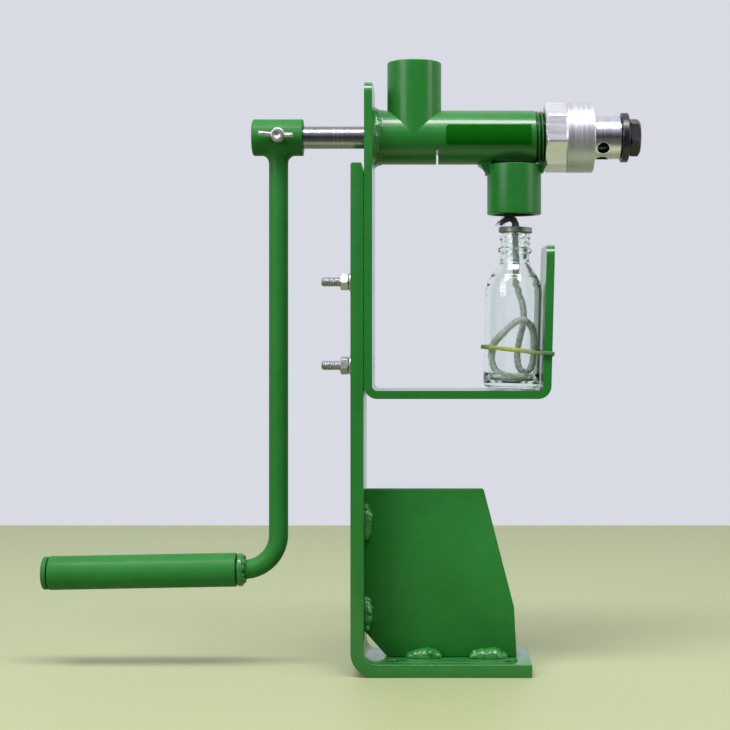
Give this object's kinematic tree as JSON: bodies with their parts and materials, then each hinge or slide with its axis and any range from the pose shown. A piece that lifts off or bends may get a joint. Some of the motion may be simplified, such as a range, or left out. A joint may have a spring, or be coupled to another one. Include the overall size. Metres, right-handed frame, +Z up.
{
  "type": "hand-cranked oil press",
  "caption": "Hand-cranked screw press for seed oil on a bent steel stand, with a feed hopper, a wick lamp under the barrel and an adjustable choke.",
  "frame": {"origin": "centre of the foot's underside", "axes": "+X along the barrel from the crank to the press head, -Y towards the front where the wing screw is, +Z up"},
  "size_m": [0.3724, 0.054, 0.3784],
  "materials": {
    "enamel": "glossy green enamel with slight orange peel",
    "ground_steel": "ground shaft, bright, with fine lengthwise grain",
    "turned_steel": "bright turned and milled steel with tool marks",
    "black_oxide": "black oxide, slightly oily",
    "zinc": "zinc plated, satin",
    "label_film": "satin film, blank",
    "bottle_glass": "clear glass with a green tint in its thick foot",
    "holder_metal": "dull cast metal",
    "wick_cotton": "braided cotton, grey with use",
    "band_rubber": "satin, stretched"
  },
  "bodies": {
    "frame": {"stand_bracket": "enamel", "gusset_plate": "enamel", "lamp_arm": "enamel", "press_barrel": "enamel", "barrel_weld": "enamel", "feed_hopper": "enamel", "hopper_weld_front": "enamel", "hopper_weld_back": "enamel", "flame_shroud": "enamel", "shroud_weld_left": "enamel", "shroud_weld_right": "enamel", "upright_weld_front_1": "enamel", "upright_weld_front_2": "enamel", "upright_weld_back_1": "enamel", "upright_weld_back_2": "enamel", "foot_weld_front_1": "enamel", "foot_weld_front_2": "enamel", "foot_weld_back_1": "enamel", "foot_weld_back_2": "enamel", "thrust_washer": "ground_steel", "clamp_screw_lower": "zinc", "flat_washer_lower": "zinc", "hex_nut_lower": "zinc", "clamp_screw_upper": "zinc", "flat_washer_upper": "zinc", "hex_nut_upper": "zinc", "blank_label": "label_film", "lamp_bottle": "bottle_glass", "wick_holder": "holder_metal", "wick": "wick_cotton", "rubber_band": "band_rubber"},
    "crank": {"expeller_screw": "ground_steel", "crank_hub": "enamel", "crank_arm": "enamel", "crank_weld": "enamel", "grip_collar": "enamel", "grip_end_cap": "enamel"},
    "grip": {"grip_sleeve": "enamel"},
    "wing_screw": {"wing_screw": "zinc"},
    "press_head": {"press_head": "turned_steel"},
    "cap_nut": {"cap_nut": "turned_steel"},
    "choke_washer": {"choke_washer": "black_oxide"},
    "choke_bolt": {"choke_bolt": "black_oxide"}
  },
  "joints": [
    {"name": "crank_spin", "type": "hinge", "parent": "frame", "child": "crank", "pos_m": [0, 0, 0.332], "axis": [1, 0, 0], "continuous": true},
    {"name": "grip_spin", "type": "hinge", "parent": "crank", "child": "grip", "pos_m": [-0.187, 0, 0.06101], "axis": [0.9998, 0, 0.0183], "continuous": true},
    {"name": "wing_screw_turn", "type": "hinge", "parent": "crank", "child": "wing_screw", "pos_m": [-0.101, -0.0125, 0.332], "axis": [0, -1, 0], "range_deg": [0, 1080]},
    {"name": "head_out", "type": "slide", "parent": "frame", "child": "press_head", "axis": [1, 0, 0], "range_m": [0, 0.0161]},
    {"name": "cap_nut_turn", "type": "hinge", "parent": "press_head", "child": "cap_nut", "pos_m": [0.08, 0, 0.332], "axis": [1, 0, 0], "range_deg": [0, 2520]},
    {"name": "washer_out", "type": "slide", "parent": "press_head", "child": "choke_washer", "axis": [1, 0, 0], "range_m": [0, 0.0119]},
    {"name": "choke_bolt_turn", "type": "hinge", "parent": "choke_washer", "child": "choke_bolt", "pos_m": [0.12, 0, 0.332], "axis": [1, 0, 0], "range_deg": [0, 2160]}
  ],
  "couplings": [
    {"joint": "cap_nut_turn", "follows": "head_out", "rad_per_m": 2721.2},
    {"joint": "choke_bolt_turn", "follows": "washer_out", "rad_per_m": 3141.6}
  ]
}
